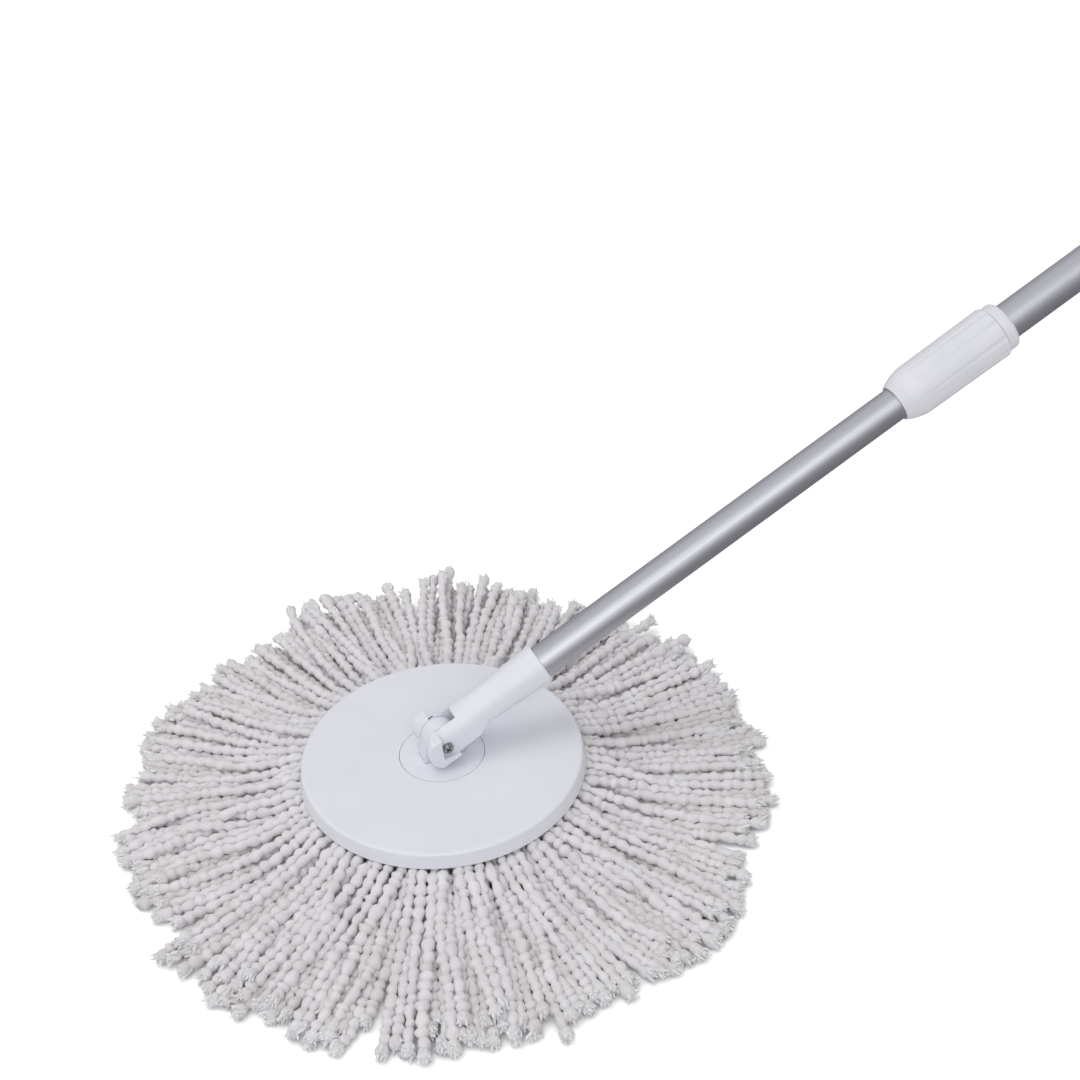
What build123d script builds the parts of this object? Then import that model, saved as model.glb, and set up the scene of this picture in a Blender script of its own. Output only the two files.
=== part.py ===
from build123d import *
from math import cos, radians, sin
import os

# Spin mop: a round yarn head on a free-spinning plate, hinged to a telescopic twist-lock handle.
# Millimetres. The origin is on the floor under the spin axis, +Z is up, and the handle leans
# towards +X. The hinge pin lies along Y, with its screw head on the -Y side.

# ---- driving dimensions: plate ----
plate_top = 30.0          # flat top above the floor
plate_radius = 80.0       # edge of the flat top
rim_flare = 1.6           # how much wider the rim is at its lower edge
rim_depth = 9.0           # flat top to lower edge
plate_wall = 2.4
rim_wall = 2.2
plate_edge_round = 1.8
finger_radius = 48.7      # outside of the ring of snap fingers
finger_wall = 2.0
finger_depth = 10.4       # below the underside of the plate
finger_count = 6
finger_slot = 5.0
rib_count = 12
rib_wall = 1.6
rib_depth = 3.0

# ---- driving dimensions: swivel ----
puck_radius = 24.2
puck_thick = 4.0
puck_side_gap = 0.3
spigot_radius = 10.0
spigot_gap = 0.3
washer_thick = 1.0
washer_gap = 0.15
hub_floor = 2.4
hub_wall = 2.4
retainer_lap = 5.7        # beyond the hub's bore
retainer_thick = 1.8
retainer_gap = 0.15
retainer_screw_inset = 4.0  # in from the spigot's edge
retainer_screw_count = 3
retainer_screw_radius = 1.25
retainer_screw_length = 7.0
retainer_head_radius = 2.6
retainer_head_thick = 1.7

# ---- driving dimensions: hinge ----
pivot_height = 12.4       # hinge axis above the flat top
rest_tilt = 24.6          # handle above the plate's plane, degrees
lug_half = 4.6            # half the lug's thickness along the pin
lug_base = 12.0           # half the lug's length at the puck
lug_foot = 1.0            # straight sides above the puck
lug_groove = 0.5          # width and depth of the groove round the lug's foot
lug_radius = 10.0
bush_bore = 2.05
bush_wall = 1.1
bush_proud = 0.1
pin_radius = 2.0
fork_gap = 0.3            # each side of the lug
ear_thick = 6.1
ear_clear = 0.4           # ear's round end above the puck
ear_lap = 0.3             # ear's inner edge beyond the lug's round top
ear_crest = 9.9           # top of the fork above the hinge axis, square to the handle
ear_foot = 8.5            # underside of the fork below the hinge axis, square to the handle
crest_round = 9.0         # top corners of the fork's section
foot_round = 1.0          # its lower corners
cheek_length = 5.0        # straight part beyond the fork's root
lip_proud = 3.6
lip_setback = 3.8         # hinge axis to the wall of the lip
lip_lean = 21.0           # degrees off square to the handle
lip_end = 4.0             # past the hinge axis, up the handle
lip_round = 0.6
pocket_drop = 3.8         # hinge axis to the ledge under the screw head
crotch_gap = 3.2          # lug's round top to the root of the fork
screw_seat = 0.3          # depth of the seats for screw head and nut
screw_head_radius = 3.2
screw_head_thick = 2.6
seat_gap = 0.3
nut_across_flats = 6.6
nut_thick = 3.2
recess_width = 1.0        # cross recess in the screw heads
recess_depth = 1.2
recess_span = 0.6         # length of the recess over the head's diameter
recess_turn = 30.0        # pivot screw's recess, degrees
screw_edge_round = 1.0

# ---- driving dimensions: handle, as distances along it from the hinge axis ----
blend_length = 10.0       # from the straight part to the round socket
neck_wall = 0.4           # cone's starting radius beyond the socket's bore
neck_flat = 0.02          # flats left on the blend's round end
socket_web = 11.8         # solid between the blend and the tube's seat
socket_depth = 30.0
socket_wall = 2.2         # at the mouth
socket_edge_round = 0.8
tube_radius = 9.9
tube_wall = 0.8
tube_fit = 0.1            # socket bore over the tube
tube_length = 594.0
plug_length = 40.0
plug_wall = 1.6
plug_fit = 0.05
tube_screw_inset = 10.0   # in from the socket's mouth
tube_screw_radius = 1.6
tube_screw_head = 3.4
tube_screw_head_thick = 1.9
tube_screw_round = 0.8
tube_screw_grip = 6.0     # length inside its head's seat
glide_length = 8.0
glide_seat = 18.0
glide_gap = 0.15
slide_gap = 0.3           # lower tube inside the upper tube
outer_wall = 0.8
outer_start = 347.0
outer_length = 598.0

# ---- driving dimensions: twist lock ----
sleeve_lead = 26.0        # sleeve's lip below the upper tube's end
sleeve_lip_wall = 0.9
sleeve_nose = 14.0        # length of the curved nose
sleeve_nose_wall = 2.8
nose_run = 0.45           # the nose's middle point, as shares of its length and of its rise
nose_rise = 0.65
sleeve_edge_round = 1.0
sleeve_end_wall = 3.3
sleeve_length = 70.5
sleeve_bore_gap = 0.5     # lip over the lower tube
sleeve_inside_gap = 0.5   # sleeve over the collet
flute_count = 10
flute_radius = 4.0
flute_depth = 0.7
collet_wall = 1.4
collet_fit = 0.1
collet_finger = 18.0
collet_slot = 1.6
collet_slot_count = 4
collet_inset = 4.0        # finger tips behind the sleeve's lip
ring_gap = 0.4
ring_proud = 3.8          # beyond the upper tube
ring_length = 7.5
ring_round = 2.4
rivet_radius = 1.5
rivet_inset = 25.0        # up from the upper tube's end
rivet_clear = 0.05

# ---- driving dimensions: grip and cap ----
grip_wall = 4.0
grip_length = 120.0
grip_edge = 1.5
cap_plug = 20.0
cap_step = 1.2            # cap narrower than the grip
cap_collar = 12.0
cap_lap = 3.0             # tube standing proud of the grip, inside the cap's collar
cap_edge = 1.5
eye_radius = 12.0
eye_half = 4.5
eye_bore = 6.0
eye_reach = 14.0          # collar to the eye's centre
eye_sink = 2.0            # eye's stem inside the collar

# ---- driving dimensions: refill ----
ring_bore_gap = 0.3       # refill ring over the snap fingers
ring_edge_gap = 2.9       # refill ring inside the rim
ring_thick = 2.0
ring_top_drop = 5.9       # flat top of the plate to the top of the refill ring
ring_collar = 2.0
yarn_nip = 4.2            # height between the rings
clamp_gap = 0.3
stud_count = 12
stud_radius = 1.8
yarn_reach = 105.4        # beyond the rim
yarn_tip_height = 11.0
yarn_mid_reach = 68.4
yarn_mid_drop = 3.0       # below the rim's lower edge
yarn_crown_reach = 28.4
yarn_crown_rise = 1.0     # above the rim's lower edge
yarn_gap = 0.3
yarn_hole_gap = 0.3
yarn_floor_round = 4.0

# ---- derived places ----
rim_radius = plate_radius + rim_flare
plate_under = plate_top - plate_wall
rim_bottom = plate_top - rim_depth
puck_bottom = plate_top - puck_thick
washer_top = puck_bottom - washer_gap
well_floor = washer_top - washer_thick
hub_bottom = well_floor - hub_floor
retainer_top = hub_bottom - retainer_gap
retainer_bottom = retainer_top - retainer_thick
finger_bottom = plate_under - finger_depth
well_radius = puck_radius + puck_side_gap
hub_bore = spigot_radius + spigot_gap
hub_outer = well_radius + hub_wall
retainer_radius = hub_bore + retainer_lap
retainer_screw_circle = spigot_radius - retainer_screw_inset
hinge_z = plate_top + pivot_height
bush_radius = bush_bore + bush_wall
ear_inner = lug_half + fork_gap
ear_outer = ear_inner + ear_thick
ear_radius = pivot_height - ear_clear
crotch = lug_radius + crotch_gap
seat_depth = ear_outer - screw_seat
socket_blend = crotch + cheek_length + blend_length
socket_floor = socket_blend + socket_web
socket_mouth = socket_floor + socket_depth
socket_bore = tube_radius + tube_fit
socket_neck = socket_bore + neck_wall
socket_radius = socket_bore + socket_wall
tube_screw_at = socket_mouth - tube_screw_inset
socket_slope = (socket_radius - socket_neck) / (socket_mouth - socket_blend)
tube_screw_seat = socket_radius - socket_slope * (tube_screw_inset + tube_screw_head)
nut_corner = nut_across_flats / 3**0.5
tube_start = socket_floor
tube_end = tube_start + tube_length
tube_inner = tube_radius - tube_wall
outer_inner = tube_radius + slide_gap
outer_radius = outer_inner + outer_wall
outer_end = outer_start + outer_length
collet_radius = outer_radius + collet_wall
sleeve_start = outer_start - sleeve_lead
sleeve_end = sleeve_start + sleeve_length
sleeve_inner = collet_radius + sleeve_inside_gap
sleeve_lip_radius = tube_radius + sleeve_bore_gap + sleeve_lip_wall
sleeve_nose_radius = sleeve_inner + sleeve_nose_wall
sleeve_end_radius = sleeve_inner + sleeve_end_wall
rivet_at = outer_start + rivet_inset
collet_start = sleeve_start + collet_inset
ring_start = sleeve_end + ring_gap
ring_end = ring_start + ring_length
ring_radius = outer_radius + ring_proud
grip_radius = outer_radius + grip_wall
cap_radius = grip_radius - cap_step
grip_end = outer_end - cap_lap
grip_start = grip_end - grip_length
cap_end = outer_end + cap_collar
eye_at = cap_end + eye_reach
ring_bore = finger_radius + ring_bore_gap
ring_outer = rim_radius - rim_wall - ring_edge_gap
ring_top = plate_top - ring_top_drop
nip_top = ring_top - ring_thick
nip_bottom = nip_top - yarn_nip
clamp_bottom = nip_bottom - ring_thick
clamp_inner = ring_bore + ring_collar + clamp_gap
stud_circle = (clamp_inner + ring_outer) / 2
yarn_radius = rim_radius + yarn_reach
yarn_neck = rim_bottom - yarn_gap
yarn_under = clamp_bottom - yarn_gap

# The handle's axis, two planes on it, and its direction. On handle, x is across the handle and
# up, y is towards the screw side and z runs up the handle. On side, x runs up the handle, y is
# across it and up, and z is towards the screw side.
lean = radians(rest_tilt)
hinge_point = (0, 0, hinge_z)
handle_way = (cos(lean), 0, sin(lean))
handle_up = (-sin(lean), 0, cos(lean))
handle = Plane(origin=hinge_point, x_dir=handle_up, z_dir=handle_way)
side = Plane(origin=hinge_point, x_dir=handle_way, z_dir=(0, -1, 0))
handle_axis = Axis(hinge_point, handle_way)

os.makedirs("parts", exist_ok=True)


def save(piece, name):
    """Label a finished piece and write it as its own STEP file."""
    piece.part.label = name
    export_step(piece.part, f"parts/{name}.step")


# ---- head plate: dished disc with a well for the puck, snap fingers and ribs beneath ----
with BuildPart() as head_plate:
    with BuildSketch(Plane.XZ):
        with BuildLine():
            Polyline(
                (well_radius, plate_top),
                (plate_radius, plate_top),
                (rim_radius, rim_bottom),
                (rim_radius - rim_wall, rim_bottom),
                (plate_radius - rim_wall, plate_under),
                (finger_radius, plate_under),
                (finger_radius, finger_bottom),
                (finger_radius - finger_wall, finger_bottom),
                (finger_radius - finger_wall, plate_under),
                (hub_outer, plate_under),
                (hub_outer, hub_bottom),
                (hub_bore, hub_bottom),
                (hub_bore, well_floor),
                (well_radius, well_floor),
                close=True,
            )
        make_face()
    revolve(axis=Axis.Z)
    rim_edges = head_plate.edges().filter_by(GeomType.CIRCLE).group_by(Axis.Z)[-1].sort_by(SortBy.RADIUS)
    fillet(rim_edges[-1], radius=plate_edge_round)
    with BuildSketch(Plane.XY.offset(finger_bottom)):
        with PolarLocations(finger_radius - finger_wall / 2, finger_count):
            Rectangle(3 * finger_wall, finger_slot)
    extrude(amount=finger_depth - rib_depth, mode=Mode.SUBTRACT)
    rib_run = finger_radius - finger_wall - hub_outer
    with BuildSketch(Plane.XY.offset(plate_under - rib_depth)):
        with PolarLocations(hub_outer + rib_run / 2, rib_count, start_angle=180 / rib_count):
            Rectangle(rib_run + finger_wall, rib_wall)
    extrude(amount=rib_depth)
save(head_plate, "head_plate")

# ---- thrust washer: flat ring under the puck ----
with BuildPart() as thrust_washer:
    with BuildSketch(Plane.XY.offset(well_floor)):
        Circle(puck_radius - puck_side_gap)
        Circle(hub_bore, mode=Mode.SUBTRACT)
    extrude(amount=washer_thick)
save(thrust_washer, "thrust_washer")

# ---- swivel puck: disc flush with the plate, spigot below, hinge lug above ----
with BuildPart() as swivel_puck:
    with BuildSketch(Plane.XY.offset(puck_bottom)):
        Circle(puck_radius)
    extrude(amount=puck_thick)
    with BuildSketch(Plane.XY.offset(retainer_top)):
        Circle(spigot_radius)
    extrude(amount=puck_bottom - retainer_top)
    with BuildSketch(Plane.XZ):
        with Locations((0, hinge_z)):
            Circle(lug_radius)
        with BuildLine():
            Polyline(
                (-lug_base, plate_top - puck_thick / 2),
                (-lug_base, plate_top + lug_foot),
                (-lug_radius, hinge_z),
                (lug_radius, hinge_z),
                (lug_base, plate_top + lug_foot),
                (lug_base, plate_top - puck_thick / 2),
                close=True,
            )
        make_face()
    extrude(amount=lug_half, both=True)
    with BuildSketch(Plane.XZ):
        with Locations((0, hinge_z)):
            Circle(bush_radius)
    extrude(amount=lug_half, both=True, mode=Mode.SUBTRACT)
    with BuildSketch(Plane.XY.offset(plate_top - lug_groove)):
        Rectangle(2 * (lug_base + lug_groove), 2 * (lug_half + lug_groove))
        Rectangle(2 * lug_base, 2 * lug_half, mode=Mode.SUBTRACT)
    extrude(amount=2 * lug_groove, mode=Mode.SUBTRACT)
    with BuildSketch(Plane.XY.offset(retainer_top)):
        with PolarLocations(retainer_screw_circle, retainer_screw_count):
            Circle(retainer_screw_radius + plug_fit)
    extrude(amount=retainer_screw_length - retainer_thick, mode=Mode.SUBTRACT)
save(swivel_puck, "swivel_puck")

# ---- retainer plate and its screws: hold the puck's spigot in the plate ----
with BuildPart() as retainer_plate:
    with BuildSketch(Plane.XY.offset(retainer_bottom)):
        Circle(retainer_radius)
        with PolarLocations(retainer_screw_circle, retainer_screw_count):
            Circle(retainer_screw_radius + plug_fit, mode=Mode.SUBTRACT)
    extrude(amount=retainer_thick)
save(retainer_plate, "retainer_plate")

with BuildPart() as retainer_screws:
    head_bottom = retainer_bottom - retainer_head_thick
    with BuildSketch(Plane.XY.offset(head_bottom)):
        with PolarLocations(retainer_screw_circle, retainer_screw_count):
            Circle(retainer_head_radius)
    extrude(amount=retainer_head_thick)
    with BuildSketch(Plane.XY.offset(retainer_bottom)):
        with PolarLocations(retainer_screw_circle, retainer_screw_count):
            Circle(retainer_screw_radius)
    extrude(amount=retainer_screw_length - 2 * plug_fit)
    with BuildSketch(Plane.XY.offset(head_bottom)):
        with PolarLocations(retainer_screw_circle, retainer_screw_count):
            Rectangle(2 * recess_span * retainer_head_radius, recess_width)
            Rectangle(recess_width, 2 * recess_span * retainer_head_radius)
    extrude(amount=recess_depth, mode=Mode.SUBTRACT)
save(retainer_screws, "retainer_screws")

# ---- pivot bush: sleeve pressed through the lug ----
with BuildPart() as pivot_bush:
    with BuildSketch(Plane.XZ):
        with Locations((0, hinge_z)):
            Circle(bush_radius)
            Circle(bush_bore, mode=Mode.SUBTRACT)
    extrude(amount=lug_half + bush_proud, both=True)
save(pivot_bush, "pivot_bush")

# ---- fork socket: forked end over the lug, conical socket for the lower tube. Each ear has a
# raised lip that walls the seat of the screw head or nut on two sides. ----
with BuildPart() as lips:
    for hand in (1, -1):
        with BuildSketch(side.offset(hand * ear_inner)):
            Circle(lug_radius + ear_lap)
        with BuildSketch(side.offset(hand * ear_outer)):
            Circle(ear_radius)
        loft()
        with BuildSketch(side.offset(hand * ear_outer)):
            Circle(ear_radius)
        extrude(amount=hand * lip_proud)
    with BuildSketch(side):
        with Locations(Location((-lip_setback, 0, 0), (0, 0, -lip_lean))):
            with Locations((0, -pocket_drop)):
                Rectangle(4 * ear_radius, 4 * ear_radius, align=Align.MIN)
        with Locations((lip_end, 0)):
            Rectangle(4 * ear_radius, 4 * ear_radius, align=(Align.MIN, Align.CENTER))
        with Locations((0, -ear_foot)):
            Rectangle(4 * ear_radius, 2 * ear_radius, align=(Align.CENTER, Align.MAX))
        with Locations((0, ear_crest)):
            Rectangle(4 * ear_radius, 2 * ear_radius, align=(Align.CENTER, Align.MIN))
    extrude(amount=ear_outer + 2 * lip_proud, both=True, mode=Mode.SUBTRACT)
    lip_faces = [lips.faces().sort_by(Axis.Y)[0], lips.faces().sort_by(Axis.Y)[-1]]
    fillet([edge for face in lip_faces for edge in face.edges()], radius=lip_round)

with BuildPart() as fork_socket:
    with BuildSketch(handle.offset(-ear_radius)) as fork_section:
        with Locations(((ear_crest - ear_foot) / 2, 0)):
            Rectangle(ear_crest + ear_foot, 2 * ear_outer)
        fillet(fork_section.vertices().group_by(Axis.X)[-1], radius=crest_round)
        fillet(fork_section.vertices().group_by(Axis.X)[0], radius=foot_round)
    extrude(amount=ear_radius + crotch + cheek_length)
    with BuildSketch(side):
        Circle(lug_radius + ear_lap)
        Rectangle(4 * crotch, 4 * ear_radius, align=(Align.MIN, Align.CENTER))
    extrude(amount=2 * ear_outer, both=True, mode=Mode.INTERSECT)
    with BuildSketch(side):
        Rectangle(2 * crotch, 4 * ear_radius)
    extrude(amount=ear_inner, both=True, mode=Mode.SUBTRACT)
    add(fork_section.sketch.moved(Location([(ear_radius + crotch + cheek_length) * c for c in handle_way])))
    with BuildSketch(handle.offset(socket_blend)):
        RectangleRounded(2 * socket_neck, 2 * socket_neck, socket_neck - neck_flat / 2)
    loft()
    with BuildSketch(handle.offset(socket_blend)):
        Circle(socket_neck)
    with BuildSketch(handle.offset(socket_mouth)):
        Circle(socket_radius)
    loft()
    fillet(fork_socket.edges().sort_by(handle_axis)[-1], radius=socket_edge_round)
    add(lips.part)
    with BuildSketch(side):
        Circle(pin_radius + tube_fit)
    extrude(amount=2 * ear_outer, both=True, mode=Mode.SUBTRACT)
    for hand, seat_radius in ((1, screw_head_radius), (-1, nut_corner)):
        with BuildSketch(side.offset(hand * seat_depth)):
            Circle(seat_radius + seat_gap)
        extrude(amount=hand * (screw_seat + 2 * lip_proud), mode=Mode.SUBTRACT)
    with BuildSketch(handle.offset(socket_floor)):
        Circle(socket_bore)
    extrude(amount=socket_depth, mode=Mode.SUBTRACT)
    screw_way = Plane(handle.offset(tube_screw_at).origin, x_dir=handle_way, z_dir=[-c for c in handle_up])
    with BuildSketch(screw_way):
        Circle(tube_screw_radius + tube_fit)
    extrude(amount=2 * socket_radius, mode=Mode.SUBTRACT)
    with BuildSketch(screw_way.offset(tube_screw_seat)):
        Circle(tube_screw_head + tube_fit)
    extrude(amount=socket_radius, mode=Mode.SUBTRACT)
save(fork_socket, "fork_socket")

# ---- pivot screw and nut ----
with BuildPart() as pivot_screw:
    with BuildSketch(side.offset(seat_depth)):
        Circle(screw_head_radius)
    extrude(amount=screw_head_thick)
    fillet(pivot_screw.edges().sort_by(Axis.Y)[0], radius=screw_edge_round)
    with BuildSketch(side.offset(-seat_depth - nut_thick)):
        Circle(pin_radius)
    extrude(amount=2 * seat_depth + nut_thick)
    with BuildSketch(side.offset(seat_depth + screw_head_thick)):
        Rectangle(2 * recess_span * screw_head_radius, recess_width, rotation=recess_turn)
        Rectangle(recess_width, 2 * recess_span * screw_head_radius, rotation=recess_turn)
    extrude(amount=-recess_depth, mode=Mode.SUBTRACT)
save(pivot_screw, "pivot_screw")

with BuildPart() as pivot_nut:
    with BuildSketch(side.offset(-seat_depth - nut_thick)):
        RegularPolygon(nut_across_flats / 2, 6, major_radius=False)
        Circle(pin_radius, mode=Mode.SUBTRACT)
    extrude(amount=nut_thick)
save(pivot_nut, "pivot_nut")

# ---- lower tube, its end plug, its screw and its upper glide ----
with BuildPart() as lower_tube:
    with BuildSketch(handle.offset(tube_start)):
        Circle(tube_radius)
        Circle(tube_inner, mode=Mode.SUBTRACT)
    extrude(amount=tube_length)
    with BuildSketch(screw_way):
        Circle(tube_screw_radius + tube_fit)
    extrude(amount=2 * tube_radius, mode=Mode.SUBTRACT)
save(lower_tube, "lower_tube")

with BuildPart() as tube_plug:
    with BuildSketch(handle.offset(tube_start)):
        Circle(tube_inner - plug_fit)
    extrude(amount=plug_length)
    with BuildSketch(handle.offset(tube_start + plug_wall)):
        Circle(tube_inner - plug_fit - plug_wall)
    extrude(amount=plug_length, mode=Mode.SUBTRACT)
    with BuildSketch(screw_way):
        Circle(tube_screw_radius + plug_fit)
    extrude(amount=2 * tube_radius, mode=Mode.SUBTRACT)
save(tube_plug, "tube_plug")

screw_head_plane = screw_way.offset(tube_screw_seat)
screw_axis = Axis(screw_way.origin, screw_way.z_dir)
with BuildPart() as tube_screw:
    with BuildSketch(screw_head_plane):
        Circle(tube_screw_head)
    extrude(amount=tube_screw_head_thick)
    fillet(tube_screw.edges().sort_by(screw_axis)[-1], radius=tube_screw_round)
    with BuildSketch(screw_head_plane):
        Circle(tube_screw_radius)
    extrude(amount=-tube_screw_grip)
    with BuildSketch(screw_head_plane.offset(tube_screw_head_thick)):
        Rectangle(2 * recess_span * tube_screw_head, recess_width)
        Rectangle(recess_width, 2 * recess_span * tube_screw_head)
    extrude(amount=-recess_depth, mode=Mode.SUBTRACT)
save(tube_screw, "tube_screw")

with BuildPart() as guide_bush:
    with BuildSketch(handle.offset(tube_end - glide_seat)):
        Circle(tube_inner - plug_fit)
    extrude(amount=glide_seat)
    with BuildSketch(handle.offset(tube_end)):
        Circle(outer_inner - glide_gap)
    extrude(amount=glide_length)
    with BuildSketch(handle.offset(tube_end - glide_seat)):
        Circle(tube_inner - plug_fit - plug_wall)
    extrude(amount=glide_seat + glide_length, mode=Mode.SUBTRACT)
save(guide_bush, "guide_bush")

# ---- lock collet: seat for the upper tube, slotted fingers below, end ring above ----
with BuildPart() as lock_collet:
    with BuildSketch(side):
        with BuildLine():
            Polyline(
                (collet_start, tube_radius + collet_fit),
                (collet_start, collet_radius - collet_wall),
                (collet_start + collet_finger / 2, collet_radius),
                (ring_start, collet_radius),
                (ring_start, ring_radius),
                (ring_end, ring_radius),
                (ring_end, outer_radius),
                (outer_start, outer_radius),
                (outer_start, tube_radius + collet_fit),
                close=True,
            )
        make_face()
    revolve(axis=handle_axis)
    ring_edges = lock_collet.edges().filter_by(GeomType.CIRCLE).sort_by(handle_axis)[-2:]
    fillet(ring_edges.sort_by(SortBy.RADIUS)[-1], radius=ring_round)
    with BuildSketch(handle.offset(collet_start)):
        for turn in range(collet_slot_count // 2):
            Rectangle(3 * collet_radius, collet_slot, rotation=turn * 360 / collet_slot_count)
    extrude(amount=collet_finger, mode=Mode.SUBTRACT)
    with BuildSketch(Plane(handle.offset(rivet_at).origin, x_dir=handle_way, z_dir=handle_up)):
        Circle(rivet_radius + rivet_clear)
    extrude(amount=2 * collet_radius, both=True, mode=Mode.SUBTRACT)
save(lock_collet, "lock_collet")

# ---- lock sleeve: fluted twist grip with a rounded nose ----
with BuildPart() as lock_sleeve:
    with BuildSketch(side):
        with BuildLine():
            lip = Line((sleeve_start, tube_radius + sleeve_bore_gap), (sleeve_start, sleeve_lip_radius))
            nose_swell = sleeve_nose_radius - sleeve_lip_radius
            nose = ThreePointArc(
                lip @ 1,
                (sleeve_start + nose_run * sleeve_nose, sleeve_lip_radius + nose_rise * nose_swell),
                (sleeve_start + sleeve_nose, sleeve_nose_radius),
            )
            Polyline(
                nose @ 1,
                (sleeve_end, sleeve_end_radius),
                (sleeve_end, sleeve_inner),
                (collet_start - sleeve_inside_gap, sleeve_inner),
                (collet_start - sleeve_inside_gap, tube_radius + sleeve_bore_gap),
                lip @ 0,
            )
        make_face()
    revolve(axis=handle_axis)
    sleeve_edges = lock_sleeve.edges().filter_by(GeomType.CIRCLE).sort_by(handle_axis)[-2:]
    fillet(sleeve_edges.sort_by(SortBy.RADIUS)[-1], radius=sleeve_edge_round)
    with BuildSketch(handle.offset(sleeve_start + sleeve_nose)):
        with PolarLocations(sleeve_end_radius + flute_radius - flute_depth, flute_count):
            Circle(flute_radius)
    extrude(amount=sleeve_length, mode=Mode.SUBTRACT)
save(lock_sleeve, "lock_sleeve")

# ---- upper tube and the rivets that hold the collet on it ----
rivet_plane = Plane(handle.offset(rivet_at).origin, x_dir=handle_way, z_dir=handle_up)
with BuildPart() as upper_tube:
    with BuildSketch(handle.offset(outer_start)):
        Circle(outer_radius)
        Circle(outer_inner, mode=Mode.SUBTRACT)
    extrude(amount=outer_length)
    with BuildSketch(rivet_plane):
        Circle(rivet_radius + rivet_clear)
    extrude(amount=2 * outer_radius, both=True, mode=Mode.SUBTRACT)
save(upper_tube, "upper_tube")

with BuildPart() as lock_rivets:
    for hand in (1, -1):
        with BuildSketch(rivet_plane.offset(hand * (outer_inner + rivet_clear))):
            Circle(rivet_radius)
        extrude(amount=hand * (collet_radius - outer_inner - rivet_clear))
save(lock_rivets, "lock_rivets")

# ---- hand grip and end cap with its hanging eye ----
with BuildPart() as hand_grip:
    with BuildSketch(handle.offset(grip_start)):
        Circle(grip_radius)
        Circle(outer_radius, mode=Mode.SUBTRACT)
    extrude(amount=grip_length)
    grip_edges = hand_grip.edges().filter_by(GeomType.CIRCLE).sort_by(SortBy.RADIUS)[-2:]
    fillet(grip_edges, radius=grip_edge)
save(hand_grip, "hand_grip")

with BuildPart() as end_cap:
    with BuildSketch(handle.offset(outer_end - cap_plug)):
        Circle(outer_inner - plug_fit)
        Circle(outer_inner - plug_fit - plug_wall, mode=Mode.SUBTRACT)
    extrude(amount=cap_plug)
    with BuildSketch(handle.offset(outer_end)):
        Circle(cap_radius)
    extrude(amount=cap_collar)
    with BuildSketch(handle.offset(grip_end)):
        Circle(cap_radius)
        Circle(outer_radius + plug_fit, mode=Mode.SUBTRACT)
    extrude(amount=cap_lap)
    collar_edges = end_cap.edges().filter_by(GeomType.CIRCLE).sort_by(handle_axis)[-1:]
    fillet(collar_edges, radius=cap_edge)
    with BuildSketch(side):
        with Locations((eye_at, 0)):
            Circle(eye_radius)
        with Locations((eye_at, 0)):
            Rectangle(eye_reach + eye_sink, 2 * eye_radius, align=(Align.MAX, Align.CENTER))
    extrude(amount=eye_half, both=True)
    with BuildSketch(side):
        with Locations((eye_at, 0)):
            Circle(eye_bore)
    extrude(amount=2 * eye_half, both=True, mode=Mode.SUBTRACT)
save(end_cap, "end_cap")

# ---- refill ring: pushes onto the plate's snap fingers ----
with BuildPart() as refill_ring:
    with BuildSketch(Plane.XY.offset(nip_top)):
        Circle(ring_outer)
        Circle(ring_bore, mode=Mode.SUBTRACT)
    extrude(amount=ring_thick)
    with BuildSketch(Plane.XY.offset(clamp_bottom)):
        Circle(ring_bore + ring_collar)
        Circle(ring_bore, mode=Mode.SUBTRACT)
    extrude(amount=nip_top - clamp_bottom)
save(refill_ring, "refill_ring")

# ---- clamp ring: holds the yarn against the refill ring on studs ----
with BuildPart() as clamp_ring:
    with BuildSketch(Plane.XY.offset(clamp_bottom)):
        Circle(ring_outer)
        Circle(clamp_inner, mode=Mode.SUBTRACT)
    extrude(amount=ring_thick)
    with BuildSketch(Plane.XY.offset(nip_bottom)):
        with PolarLocations(stud_circle, stud_count):
            Circle(stud_radius)
    extrude(amount=yarn_nip)
save(clamp_ring, "clamp_ring")

# ---- yarn skirt: the space that the strands fill, nipped between the two rings ----
with BuildPart() as yarn_skirt:
    with BuildSketch(Plane.XZ):
        with BuildLine():
            Polyline(
                (0, 0),
                (yarn_radius, 0),
                (yarn_radius, yarn_tip_height),
                (rim_radius + yarn_mid_reach, rim_bottom - yarn_mid_drop),
                (rim_radius + yarn_crown_reach, rim_bottom + yarn_crown_rise),
                (rim_radius + yarn_gap, yarn_neck),
                (ring_outer + yarn_gap, yarn_neck),
                (ring_outer + yarn_gap, nip_top - yarn_gap),
                (clamp_inner + yarn_gap, nip_top - yarn_gap),
                (clamp_inner + yarn_gap, nip_bottom + yarn_gap),
                (ring_outer + yarn_gap, nip_bottom + yarn_gap),
                (ring_outer + yarn_gap, yarn_under),
                (0, yarn_under),
                close=True,
            )
        make_face()
    revolve(axis=Axis.Z)
    with BuildSketch(Plane.XY.offset(nip_bottom)):
        with PolarLocations(stud_circle, stud_count):
            Circle(stud_radius + yarn_hole_gap)
    extrude(amount=yarn_nip, mode=Mode.SUBTRACT)
    foot_edges = yarn_skirt.edges().filter_by(GeomType.CIRCLE).group_by(Axis.Z)[0].sort_by(SortBy.RADIUS)
    fillet(foot_edges[-1], radius=yarn_floor_round)
save(yarn_skirt, "yarn_skirt")
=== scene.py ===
import math

import bpy
import numpy as np
from mathutils import Matrix, Vector
from mathutils.kdtree import KDTree


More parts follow.
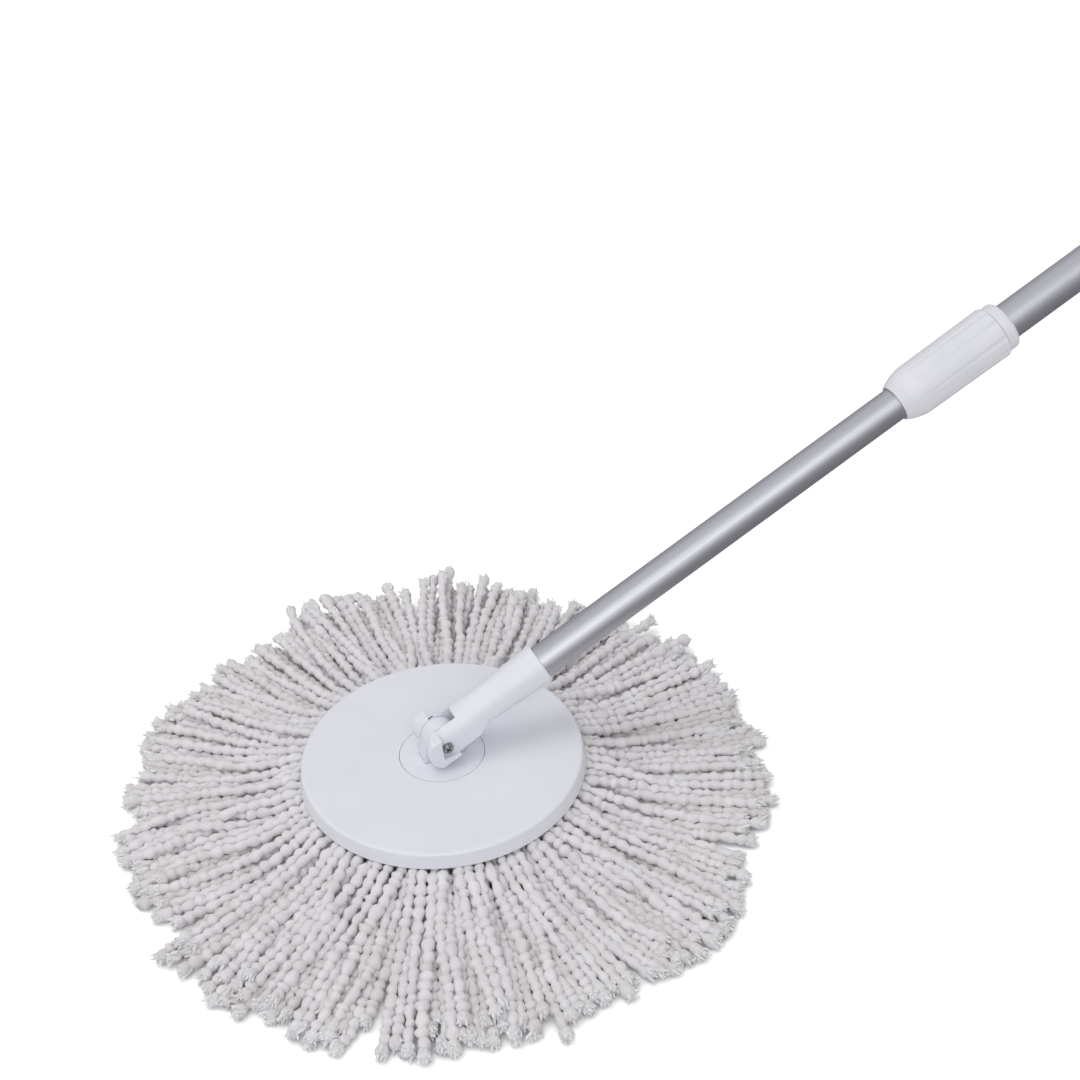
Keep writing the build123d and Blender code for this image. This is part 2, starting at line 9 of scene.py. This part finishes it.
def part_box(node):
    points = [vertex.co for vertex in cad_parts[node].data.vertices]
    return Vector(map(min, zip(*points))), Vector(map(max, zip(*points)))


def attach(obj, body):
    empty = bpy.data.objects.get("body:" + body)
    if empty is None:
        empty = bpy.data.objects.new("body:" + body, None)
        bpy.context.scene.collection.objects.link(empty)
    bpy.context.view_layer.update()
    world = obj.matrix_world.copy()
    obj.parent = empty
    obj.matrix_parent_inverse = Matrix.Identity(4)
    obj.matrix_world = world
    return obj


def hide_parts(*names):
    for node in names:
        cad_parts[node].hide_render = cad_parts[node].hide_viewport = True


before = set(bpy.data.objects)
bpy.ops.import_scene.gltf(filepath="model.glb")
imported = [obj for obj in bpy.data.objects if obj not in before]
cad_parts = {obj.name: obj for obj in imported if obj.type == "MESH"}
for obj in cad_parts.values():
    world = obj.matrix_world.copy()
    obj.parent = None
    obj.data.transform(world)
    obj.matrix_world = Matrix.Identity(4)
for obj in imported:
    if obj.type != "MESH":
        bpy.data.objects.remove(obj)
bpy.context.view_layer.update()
MM = 0.001

# ---- the head, read from the frame, in millimetres ----
HEAD_NODES = ("head_plate", "refill_ring", "yarn_skirt")
plate_high, ring_high, skirt_high = (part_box(node)[1] / MM for node in HEAD_NODES)
RIM_DEPTH = 9.0
plate_radius = plate_high.x
rim_bottom = plate_high.z - RIM_DEPTH
ring_radius = ring_high.x
yarn_radius = skirt_high.x

# ---- yarn, in millimetres ----
STRAND_RADIUS = 2.95       # as the simulation takes it
WAIST_RADIUS = 1.8         # drawn strand between two swellings
BULGE = 1.55               # how far a swelling stands out
BULGE_LENGTH = 6.4
STRAND_SIDES = 12
RING_STEP = 0.9            # between the drawn strand's rings
BEAD_STEP = 5.0            # between the simulated strand's beads
LAYERS = (
    # name, strands, height at the rim, height of the first point, share of the lift, share of the clumping
    ("top", 84, 18.2, 20.0, 1.0, 1.0),
    ("upper", 76, 14.4, 20.0, 0.8, 0.85),
    ("lower", 46, 9.2, 11.8, 0.35, 0.6),
    ("floor", 42, 3.6, 3.6, 0.0, 0.3),
)
CLUMPS = 30                # bunches that the strands gather in
LIFT_BEARING = math.radians(70)
LIFT_WIDTH = math.radians(50)
LIFT_HEIGHT = 13.0
TOUCH = 5.3                # strands press together until their centres are this far apart
SECTORS = 6                # mesh objects that each layer is split into
SEED = 11

# ---- how the strands settle ----
SETTLE_STEPS = 150
PAIR_EVERY = 8             # steps between searches for strands that are near each other
CARRY = 0.85               # share of a bead's motion kept from one step to the next
GLIDE = 0.6                # most that this may move it
SINK = 0.06                # drop in each step
STIFFNESS = 0.22
PUSH = 0.4                 # share of an overlap taken out in each pass
ROOF_SLOPE = 0.7           # how steeply the strands may rise beyond the rim

# ---- handle, light and floor ----
HANDLE_TILT = math.radians(24.6)
WORLD_LIGHT = 0.52
FLOOR_SIZE = 50.0          # metres
FLOOR_DROP = 0.0005        # metres


def look_matrix(place, heading, pitch, roll):
    """Camera matrix at place, looking heading degrees right of +Y, pitch degrees down, rolled clockwise."""
    turn = Matrix.Rotation(math.radians(-heading), 4, "Z")
    tip = Matrix.Rotation(math.radians(90 - pitch), 4, "X")
    spin = Matrix.Rotation(math.radians(-roll), 4, "Z")
    return Matrix.Translation(place) @ turn @ tip @ spin


def make_camera():
    data = bpy.data.cameras.new("camera")
    data.lens = 55.57
    data.sensor_width = 36.0
    data.clip_start = 0.05
    data.clip_end = 50.0
    camera = bpy.data.objects.new("camera", data)
    bpy.context.scene.collection.objects.link(camera)
    camera.matrix_world = look_matrix(Vector((-0.2126, -0.6779, 0.6699)), 22.45, 35.07, 3.26)
    bpy.context.scene.camera = camera


make_camera()


# ---------------------------------------------------------------- materials
def new_material(name):
    material = bpy.data.materials.new(name)
    material.use_nodes = True
    tree = material.node_tree
    return material, tree, tree.nodes["Principled BSDF"]


def noise(tree, scale, detail=3.0, roughness=0.55, stretch=None):
    """Noise on object coordinates, stretched along the handle if asked."""
    where = tree.nodes.new("ShaderNodeTexCoord")
    out = where.outputs["Object"]
    if stretch:
        for label, value in (("Rotation", (0.0, HANDLE_TILT, 0.0)), ("Scale", (stretch, 1.0, 1.0))):
            mapping = tree.nodes.new("ShaderNodeMapping")
            mapping.inputs[label].default_value = value
            tree.links.new(out, mapping.inputs["Vector"])
            out = mapping.outputs["Vector"]
    node = tree.nodes.new("ShaderNodeTexNoise")
    node.inputs["Scale"].default_value = scale
    node.inputs["Detail"].default_value = detail
    node.inputs["Roughness"].default_value = roughness
    tree.links.new(out, node.inputs["Vector"])
    return node.outputs["Fac"]


def ramp(tree, source, low, high, low_at=0.3, high_at=0.7):
    """source mapped to a range of numbers or colours."""
    if isinstance(low, (int, float)):
        node = tree.nodes.new("ShaderNodeMapRange")
        node.inputs["From Min"].default_value = low_at
        node.inputs["From Max"].default_value = high_at
        node.inputs["To Min"].default_value = low
        node.inputs["To Max"].default_value = high
        tree.links.new(source, node.inputs["Value"])
        return node.outputs["Result"]
    node = tree.nodes.new("ShaderNodeValToRGB")
    node.color_ramp.elements[0].position = low_at
    node.color_ramp.elements[0].color = (*low, 1)
    node.color_ramp.elements[1].position = high_at
    node.color_ramp.elements[1].color = (*high, 1)
    tree.links.new(source, node.inputs["Fac"])
    return node.outputs["Color"]


def bump(tree, source, strength, distance):
    node = tree.nodes.new("ShaderNodeBump")
    node.inputs["Strength"].default_value = strength
    node.inputs["Distance"].default_value = distance
    tree.links.new(source, node.inputs["Height"])
    return node.outputs["Normal"]


def plastic(name, low, high, rough=(0.3, 0.42), grain=0.04):
    """Moulded plastic: faint mottle, faint cloudiness in its gloss, and a fine grain."""
    material, tree, shader = new_material(name)
    tree.links.new(ramp(tree, noise(tree, 28.0, 4.0), low, high), shader.inputs["Base Color"])
    tree.links.new(ramp(tree, noise(tree, 60.0, 5.0), *rough), shader.inputs["Roughness"])
    tree.links.new(bump(tree, noise(tree, 1900.0, 2.0), grain, 0.0002), shader.inputs["Normal"])
    shader.inputs["IOR"].default_value = 1.49
    shader.inputs["Subsurface Weight"].default_value = 0.08
    shader.inputs["Subsurface Radius"].default_value = (0.002, 0.002, 0.002)
    shader.inputs["Subsurface Scale"].default_value = 1.0
    return material


def aluminium(name, low, high, rough):
    """Drawn anodised tube: satin, with fine lines along the tube."""
    material, tree, shader = new_material(name)
    tree.links.new(ramp(tree, noise(tree, 700.0, 3.0, stretch=0.01), low, high), shader.inputs["Base Color"])
    tree.links.new(ramp(tree, noise(tree, 900.0, 2.0, stretch=0.01), *rough), shader.inputs["Roughness"])
    tree.links.new(bump(tree, noise(tree, 1500.0, 2.0, stretch=0.01), 0.03, 0.0001), shader.inputs["Normal"])
    shader.inputs["Metallic"].default_value = 1.0
    return material


def steel(name, low, high, rough):
    """Plated steel with small tarnish spots."""
    material, tree, shader = new_material(name)
    tree.links.new(ramp(tree, noise(tree, 700.0, 4.0), low, high), shader.inputs["Base Color"])
    tree.links.new(ramp(tree, noise(tree, 1200.0, 3.0), *rough), shader.inputs["Roughness"])
    shader.inputs["Metallic"].default_value = 1.0
    return material


def cotton(name, low, high):
    """Twisted cotton: fine fuzz, and faint grey and warm variation."""
    material, tree, shader = new_material(name)
    shade = ramp(tree, noise(tree, 90.0, 5.0, 0.6), low, high, 0.32, 0.68)
    tree.links.new(shade, shader.inputs["Base Color"])
    fuzz = noise(tree, 1500.0, 4.0, 0.7)
    tree.links.new(bump(tree, fuzz, 0.5, 0.0005), shader.inputs["Normal"])
    tree.links.new(ramp(tree, fuzz, 0.85, 1.0), shader.inputs["Roughness"])
    shader.inputs["Sheen Weight"].default_value = 0.35
    shader.inputs["Sheen Roughness"].default_value = 0.5
    shader.inputs["Specular IOR Level"].default_value = 0.15
    shader.inputs["Subsurface Weight"].default_value = 0.28
    shader.inputs["Subsurface Radius"].default_value = (0.0045, 0.004, 0.004)
    shader.inputs["Subsurface Scale"].default_value = 1.0
    return material


PLATE_WHITE = plastic("plate_plastic", (0.76, 0.77, 0.83), (0.79, 0.80, 0.855))
LOCK_WHITE = plastic("lock_plastic", (0.72, 0.725, 0.78), (0.76, 0.765, 0.81))
RING_WHITE = plastic("ring_plastic", (0.68, 0.69, 0.71), (0.73, 0.74, 0.76), (0.4, 0.55))
NATURAL = plastic("acetal", (0.74, 0.72, 0.64), (0.80, 0.78, 0.71), (0.25, 0.35))
GRIP_WHITE = plastic("grip_plastic", (0.66, 0.67, 0.70), (0.73, 0.74, 0.77), (0.45, 0.6), 0.25)
TUBE = aluminium("tube_aluminium", (0.66, 0.665, 0.70), (0.72, 0.725, 0.76), (0.47, 0.53))
STEEL = steel("plated_steel", (0.24, 0.24, 0.245), (0.48, 0.48, 0.49), (0.10, 0.20))
COTTON = cotton("cotton_yarn", (0.69, 0.665, 0.685), (0.80, 0.78, 0.805))
# Painted shade: a darker, warmer copy of the same cotton for the lower and floor layers, standing in for the
# shade deep in the skirt.
COTTON_PAINTED_SHADE = cotton("cotton_painted_shade", (0.64, 0.61, 0.62), (0.77, 0.745, 0.76))
# Painted light: a lighter copy of the same cotton for the frayed ends, offsetting the shade inside their fibre
# tufts.
COTTON_ENDS_PAINTED_LIGHT = cotton("cotton_ends_painted_light", (0.84, 0.82, 0.84), (0.92, 0.91, 0.93))

NODE_MATERIALS = {
    "head_plate": PLATE_WHITE, "swivel_puck": PLATE_WHITE, "fork_socket": PLATE_WHITE,
    "thrust_washer": NATURAL, "pivot_bush": NATURAL,
    "retainer_plate": STEEL, "retainer_screws": STEEL,
    "pivot_screw": STEEL, "pivot_nut": STEEL, "tube_screw": STEEL,
    "lower_tube": TUBE, "upper_tube": TUBE, "lock_rivets": TUBE,
    "tube_plug": RING_WHITE, "guide_bush": RING_WHITE,
    "refill_ring": RING_WHITE, "clamp_ring": RING_WHITE,
    "lock_collet": LOCK_WHITE, "lock_sleeve": LOCK_WHITE, "end_cap": LOCK_WHITE,
    "hand_grip": GRIP_WHITE, "yarn_skirt": COTTON,
}


def dress_cad_nodes():
    for name, material in NODE_MATERIALS.items():
        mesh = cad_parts[name].data
        mesh.materials.clear()
        mesh.materials.append(material)


dress_cad_nodes()


# ---------------------------------------------------------------- yarn
def strand_starts(rng):
    """Each layer's strands as rows of beads, before they settle: (layer number, angle, beads)."""
    rows = []
    beads = int((yarn_radius - ring_radius + 12) / BEAD_STEP)
    clump_at = (np.arange(CLUMPS) + rng.uniform(-0.3, 0.3, CLUMPS)) / CLUMPS * 2 * math.pi
    clump_pull = rng.uniform(0.1, 0.75, CLUMPS)
    for number, (_, count, height, _, _, clumping) in enumerate(LAYERS):
        for i in range(count):
            turn = (i + 0.5 * (number % 2) + rng.uniform(-0.25, 0.25)) / count * 2 * math.pi
            reach = yarn_radius - 5 + 5 * math.sin(5 * turn + number) + rng.uniform(-9, 6)
            step = (reach - ring_radius) / (beads - 1)
            along = ring_radius + step * np.arange(beads)
            out = np.clip((along - plate_radius) / (yarn_radius - plate_radius), 0, 1)
            away = (clump_at - turn + math.pi) % (2 * math.pi) - math.pi
            nearest = np.argmin(np.abs(away))
            swing = 0.05 * math.sin(9 * turn + 0.7) + rng.normal(0, 0.035)
            swing += clumping * clump_pull[nearest] * away[nearest]
            wave = rng.uniform(0.008, 0.022) * np.sin(out * rng.uniform(9, 17) + rng.uniform(0, 6))
            angle = turn + swing * out**1.4 + wave * out**0.5
            drop = height + (max(STRAND_RADIUS, height * 0.6) - height) * out**1.5
            line = np.stack([along * np.cos(angle), along * np.sin(angle), drop], axis=1)
            rows.append((number, turn, line))
    return rows


def near_pairs(points, owner, reach):
    """Index pairs of beads on different strands that are nearer than reach."""
    tree = KDTree(len(points))
    for i, point in enumerate(points):
        tree.insert(point, i)
    tree.balance()
    first, second = [], []
    for i, point in enumerate(points):
        for _, j, _ in tree.find_range(point, reach):
            if j > i and owner[i] != owner[j]:
                first.append(i)
                second.append(j)
    return np.array(first), np.array(second)


def settle(lines, steps):
    """Lets the strands drop and push each other apart, with their first beads held."""
    shape = lines.shape
    beads = lines.copy()
    last = beads.copy()
    owner = np.repeat(np.arange(shape[0]), shape[1])
    rest = np.linalg.norm(lines[:, 1:] - lines[:, :-1], axis=2, keepdims=True)
    loose = np.ones((1, shape[1], 1))
    loose[:, :2] = 0
    for step in range(steps):
        if step % PAIR_EVERY == 0:
            first, second = near_pairs(beads.reshape(-1, 3), owner, TOUCH + 1.6)
        glide = np.clip(CARRY * (beads - last), -GLIDE, GLIDE)
        last = beads.copy()
        beads += loose * glide
        beads[:, :, 2] -= loose[:, :, 0] * SINK
        for _ in range(2):
            for odd in (0, 1):
                a, b = beads[:, odd:-1:2], beads[:, odd + 1::2]
                gap = b - a
                size = np.linalg.norm(gap, axis=2, keepdims=True)
                pull = 0.5 * (size - rest[:, odd::2]) * gap / np.maximum(size, 1e-6)
                a += pull * loose[:, odd:-1:2]
                b -= pull * loose[:, odd + 1::2]
            bend = 0.5 * (beads[:, :-2] + beads[:, 2:]) - beads[:, 1:-1]
            beads[:, 1:-1] += STIFFNESS * bend * loose[:, 1:-1]
            flat = beads.reshape(-1, 3)
            gap = flat[first] - flat[second]
            size = np.linalg.norm(gap, axis=1)
            push = np.clip(TOUCH - size, 0, 1.5) * PUSH
            shove = gap / np.maximum(size, 1e-6)[:, None] * push[:, None]
            total = np.zeros_like(flat)
            np.add.at(total, first, shove)
            np.add.at(total, second, -shove)
            beads += total.reshape(shape) * loose
            beads[:, :, 2] = np.maximum(beads[:, :, 2], STRAND_RADIUS + 0.1)
            radius = np.hypot(beads[:, :, 0], beads[:, :, 1])
            roof = rim_bottom - STRAND_RADIUS + np.clip(radius - plate_radius - 1.5, 0, 50) * ROOF_SLOPE
            beads[:, :, 2] = np.minimum(beads[:, :, 2], roof)
    return beads


def resample(line, step):
    """The line at an even step, on smooth curves through its points."""
    gaps = np.linalg.norm(np.diff(line, axis=0), axis=1)
    at = np.concatenate([[0], np.cumsum(gaps)])
    fine = np.linspace(0, at[-1], max(8, int(at[-1] / (step * 0.5))))
    out = np.stack([np.interp(fine, at, line[:, k]) for k in range(3)], axis=1)
    for _ in range(14):
        out[1:-1] = 0.25 * out[:-2] + 0.5 * out[1:-1] + 0.25 * out[2:]
    count = max(4, int(at[-1] / step))
    return np.stack([np.interp(np.linspace(0, at[-1], count), fine, out[:, k]) for k in range(3)], axis=1)


def frames(line):
    """Unit tangent, sideways and upward directions along a line."""
    ahead = np.gradient(line, axis=0)
    ahead /= np.linalg.norm(ahead, axis=1, keepdims=True)
    across = np.cross(ahead, (0, 0, 1.0))
    across /= np.maximum(np.linalg.norm(across, axis=1, keepdims=True), 1e-6)
    return ahead, across, np.cross(across, ahead)


def tube(centre, across, up, radius, sides):
    """Vertices and quads of one tube round a centre line, closed at both ends by fans."""
    rings = len(centre)
    turn = np.linspace(0, 2 * math.pi, sides, endpoint=False)
    ring = np.cos(turn)[None, :, None] * across[:, None] + np.sin(turn)[None, :, None] * up[:, None]
    points = centre[:, None] + ring * radius[:, :, None]
    corner = np.arange(rings * sides).reshape(rings, sides)
    nxt = np.roll(corner, -1, axis=1)
    quads = np.stack([corner[:-1], nxt[:-1], nxt[1:], corner[1:]], axis=2).reshape(-1, 4)
    return points.reshape(-1, 3), quads, corner[0][::-1], corner[-1]


class Bundle:
    """Collects tubes and makes one mesh object of them."""

    def __init__(self):
        self.points, self.quads, self.caps, self.count = [], [], [], 0

    def add(self, centre, across, up, radius, sides):
        points, quads, start, end = tube(centre, across, up, radius, sides)
        self.points.append(points)
        self.quads.append(quads + self.count)
        self.caps += [start + self.count, end + self.count]
        self.count += len(points)

    def build(self, name, material):
        points = np.concatenate(self.points) * MM
        points[:, 2] = np.maximum(points[:, 2], 0)
        quads = np.concatenate(self.quads)
        mesh = bpy.data.meshes.new(name)
        loops = np.concatenate([quads.ravel()] + self.caps)
        sizes = np.concatenate([np.full(len(quads), 4), [len(cap) for cap in self.caps]]).astype(np.int32)
        mesh.vertices.add(len(points))
        mesh.vertices.foreach_set("co", points.ravel().astype(np.float32))
        mesh.loops.add(len(loops))
        mesh.loops.foreach_set("vertex_index", loops.astype(np.int32))
        mesh.polygons.add(len(sizes))
        starts = np.concatenate([[0], np.cumsum(sizes)[:-1]]).astype(np.int32)
        mesh.polygons.foreach_set("loop_start", starts)
        mesh.polygons.foreach_set("use_smooth", np.ones(len(sizes), bool))
        mesh.update(calc_edges=True)
        mesh.validate()
        mesh.materials.append(material)
        piece = bpy.data.objects.new(name, mesh)
        bpy.context.scene.collection.objects.link(piece)
        return piece


def twist_strand(bundle, line, rng):
    """A soft two-ply strand: it swells where the plies lie side by side, with a shallow crease between them."""
    line = resample(line, RING_STEP)
    ahead, across, up = frames(line)
    count = len(line)
    at = np.arange(count) * RING_STEP
    from_tip = at[-1] - at
    out = np.hypot(line[:, 0], line[:, 1])
    nip = np.clip((out - (ring_radius - 2)) / 7, 0.6, 1)
    loosen = np.clip(1 - from_tip / 8, 0, 1)
    knots = max(6, int(at[-1] / BULGE_LENGTH))
    marks = np.linspace(0, at[-1], knots)
    wander = np.interp(at, marks, rng.normal(0, 0.7, knots))
    phase = rng.uniform(0, math.pi) + math.pi * at / (BULGE_LENGTH * rng.uniform(0.92, 1.1)) + wander
    bulge = BULGE * np.interp(at, marks, rng.uniform(0.6, 1.4, knots)) * np.abs(np.cos(phase)) ** 0.75
    radius = (WAIST_RADIUS + bulge) * nip * rng.uniform(0.95, 1.05) * (1 + 0.12 * loosen)
    lean = 0.4 * (1 - loosen)
    centre = line + (np.cos(phase) * lean)[:, None] * across + (np.sin(phase) * lean)[:, None] * up
    turn = np.linspace(0, 2 * math.pi, STRAND_SIDES, endpoint=False)
    crease = 1 - 0.07 * np.abs(np.sin(turn[None, :] - phase[:, None])) ** 6
    rough = rng.normal(1, 0.03, (count, STRAND_SIDES))
    bundle.add(centre, across, up, radius[:, None] * crease * rough, STRAND_SIDES)
    return line


def fray(bundle, line, rng, fibres=22):
    """A brush of loose fibres at a strand's cut end."""
    ahead, across, up = frames(line)
    root = line[-7]
    way, side, over = ahead[-1], across[-1], up[-1]
    t = np.linspace(0, 1, 6)[:, None]
    for _ in range(fibres):
        turn, spread = rng.uniform(0, 2 * math.pi), rng.uniform(0, 1) ** 0.5
        off = (math.cos(turn) * side + math.sin(turn) * over) * spread
        size = rng.uniform(5.5, 8.5) - 1.5 * spread
        curl = rng.normal(0, 0.9, 3)
        bend = rng.normal(0, 0.5, 3)
        centre = root + off * 1.9 + way * size * t + off * 1.7 * t**1.5 + curl * t**2 + bend * np.sin(5 * t)
        centre[:, 2] = np.maximum(centre[:, 2], 0.7)
        radius = np.array([1.0, 1.1, 1.05, 0.95, 0.75, 0.3])[:, None] * rng.uniform(0.7, 1.2) * np.ones((1, 5))
        a, s, u = frames(centre)
        bundle.add(centre, s, u, radius, 5)


def lift(lines, numbers):
    """Raises the tips of the strands behind the head, in clusters."""
    turn = np.arctan2(lines[:, :, 1], lines[:, :, 0])
    out = np.clip((np.hypot(lines[:, :, 0], lines[:, :, 1]) - plate_radius - 12) / 90, 0, 1.1)
    near = np.exp(-((turn - LIFT_BEARING) / LIFT_WIDTH) ** 2)
    height = near * LIFT_HEIGHT * (1 + 0.35 * np.sin(11 * turn + 1.0))
    height += 2.0 * np.maximum(np.sin(7 * turn + 0.6), 0) * np.maximum(np.sin(3 * turn), 0)
    share = np.array([LAYERS[number][4] for number in numbers])[:, None]
    lines[:, :, 2] += height * share * out**1.6
    return lines


def inner_run(number, turn, line, rank):
    """The part of a strand inside the rings, from its first point out to the first bead."""
    first = line[0]
    height = LAYERS[number][3]
    if number < 2:
        inner = ring_radius - 12
    else:
        inner = (8, 40, 22, 40, 12, 40, 24, 40)[rank % 8] + 3
    far = math.hypot(first[0], first[1])
    radii = np.arange(inner, far - 2, 4.0)
    bearing = math.atan2(first[1], first[0])
    heights = np.interp(radii, [inner, far - 6, far], [height, height, first[2]])
    return np.stack([radii * math.cos(bearing), radii * math.sin(bearing), heights], axis=1)


def make_yarn():
    rng = np.random.default_rng(SEED)
    rows = strand_starts(rng)
    lines = np.stack([row[2] for row in rows])
    lines = settle(lines, SETTLE_STEPS)
    lines = lift(lines, [row[0] for row in rows])
    ranks = [0] * len(LAYERS)
    bundles = {}
    for (number, turn, _), line in zip(rows, lines):
        rank = ranks[number]
        ranks[number] += 1
        whole = np.concatenate([inner_run(number, turn, line, rank), line])
        key = (number, int((turn % (2 * math.pi)) / (2 * math.pi) * SECTORS))
        ends = (len(LAYERS), key[1])
        fine = twist_strand(bundles.setdefault(key, Bundle()), whole, rng)
        fray(bundles.setdefault(ends, Bundle()), fine, rng)
    names = [layer[0] for layer in LAYERS] + ["ends"]
    # The lower and floor layers take the cotton copy with painted shade, the frayed ends the copy with painted
    # light.
    cottons = (COTTON, COTTON, COTTON_PAINTED_SHADE, COTTON_PAINTED_SHADE, COTTON_ENDS_PAINTED_LIGHT)
    for (number, sector), bundle in sorted(bundles.items()):
        piece = bundle.build(f"yarn_{names[number]}_{sector + 1}", cottons[number])
        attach(piece, "refill")
        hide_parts("yarn_skirt")


make_yarn()


# ---------------------------------------------------------------- stage and light
def make_floor():
    """White floor: seen as white through a painted glow for camera rays, which ambient occlusion takes away
    under the mop as painted shade; a painted dark grey in reflections.
    """
    mesh = bpy.data.meshes.new("floor")
    half = FLOOR_SIZE / 2
    corners = [(-half, -half, 0), (half, -half, 0), (half, half, 0), (-half, half, 0)]
    mesh.from_pydata(corners, [], [(0, 1, 2, 3)])
    floor = bpy.data.objects.new("floor", mesh)
    floor.location.z = -FLOOR_DROP
    bpy.context.scene.collection.objects.link(floor)
    material, tree, shader = new_material("floor_white")
    shader.inputs["Base Color"].default_value = (0.88, 0.88, 0.89, 1)
    shader.inputs["Roughness"].default_value = 0.8
    shader.inputs["Specular IOR Level"].default_value = 0.1
    shader.inputs["Emission Color"].default_value = (1, 1, 1, 1)
    rays = tree.nodes.new("ShaderNodeLightPath")
    # Painted shade: the camera-ray glow fades out where ambient occlusion finds the mop close above the floor.
    clear = tree.nodes.new("ShaderNodeAmbientOcclusion")
    clear.inputs["Distance"].default_value = 0.03
    painted_glow = tree.nodes.new("ShaderNodeMath")
    painted_glow.operation = "MULTIPLY"
    tree.links.new(ramp(tree, clear.outputs["AO"], 0.0, 0.45, 0.3, 0.8), painted_glow.inputs[0])
    tree.links.new(rays.outputs["Is Camera Ray"], painted_glow.inputs[1])
    tree.links.new(painted_glow.outputs["Value"], shader.inputs["Emission Strength"])
    # Painted reflection: glossy rays see the floor as a flat dark grey emission instead of its white surface.
    dark = tree.nodes.new("ShaderNodeEmission")
    dark.inputs["Color"].default_value = (0.2, 0.2, 0.215, 1)
    mix = tree.nodes.new("ShaderNodeMixShader")
    tree.links.new(rays.outputs["Is Glossy Ray"], mix.inputs[0])
    tree.links.new(shader.outputs["BSDF"], mix.inputs[1])
    tree.links.new(dark.outputs["Emission"], mix.inputs[2])
    tree.links.new(mix.outputs["Shader"], tree.nodes["Material Output"].inputs["Surface"])
    mesh.materials.append(material)


def area_light(name, place, target, size, power, in_reflections=True):
    data = bpy.data.lights.new(name, "AREA")
    data.shape = "RECTANGLE"
    data.size, data.size_y = size
    data.energy = power
    light = bpy.data.objects.new(name, data)
    bpy.context.scene.collection.objects.link(light)
    light.location = place
    light.rotation_euler = (Vector(target) - Vector(place)).to_track_quat("-Z", "Y").to_euler()
    light.visible_glossy = in_reflections


def make_world():
    """White surroundings; in reflections, grey above and dark towards the floor; seen, nearly white."""
    world = bpy.data.worlds.new("studio")
    bpy.context.scene.world = world
    world.use_nodes = True
    tree = world.node_tree
    white = tree.nodes["Background"]
    white.inputs["Color"].default_value = (1.0, 1.0, 1.0, 1)
    white.inputs["Strength"].default_value = WORLD_LIGHT
    grey = tree.nodes.new("ShaderNodeBackground")
    where = tree.nodes.new("ShaderNodeTexCoord")
    parts = tree.nodes.new("ShaderNodeSeparateXYZ")
    tree.links.new(where.outputs["Generated"], parts.inputs["Vector"])
    shade = ramp(tree, parts.outputs["Z"], (0.25, 0.25, 0.27), (0.62, 0.62, 0.65), 0.0, 0.8)
    tree.links.new(shade, grey.inputs["Color"])
    rays = tree.nodes.new("ShaderNodeLightPath")
    mix = tree.nodes.new("ShaderNodeMixShader")
    tree.links.new(rays.outputs["Is Glossy Ray"], mix.inputs[0])
    tree.links.new(white.outputs["Background"], mix.inputs[1])
    tree.links.new(grey.outputs["Background"], mix.inputs[2])
    seen = tree.nodes.new("ShaderNodeBackground")
    seen.inputs["Color"].default_value = (0.95, 0.95, 0.95, 1)
    pick = tree.nodes.new("ShaderNodeMixShader")
    tree.links.new(rays.outputs["Is Camera Ray"], pick.inputs[0])
    tree.links.new(mix.outputs["Shader"], pick.inputs[1])
    tree.links.new(seen.outputs["Background"], pick.inputs[2])
    tree.links.new(pick.outputs["Shader"], tree.nodes["World Output"].inputs["Surface"])


make_floor()
make_world()
area_light("front", (-0.65, -1.75, 1.5), (0.25, 0, 0.15), (2.0, 2.0), 18)
area_light("top", (-0.6, 0.5, 1.9), (0.1, 0, 0), (1.2, 1.2), 12, in_reflections=False)
bpy.context.scene.view_settings.view_transform = "Standard"
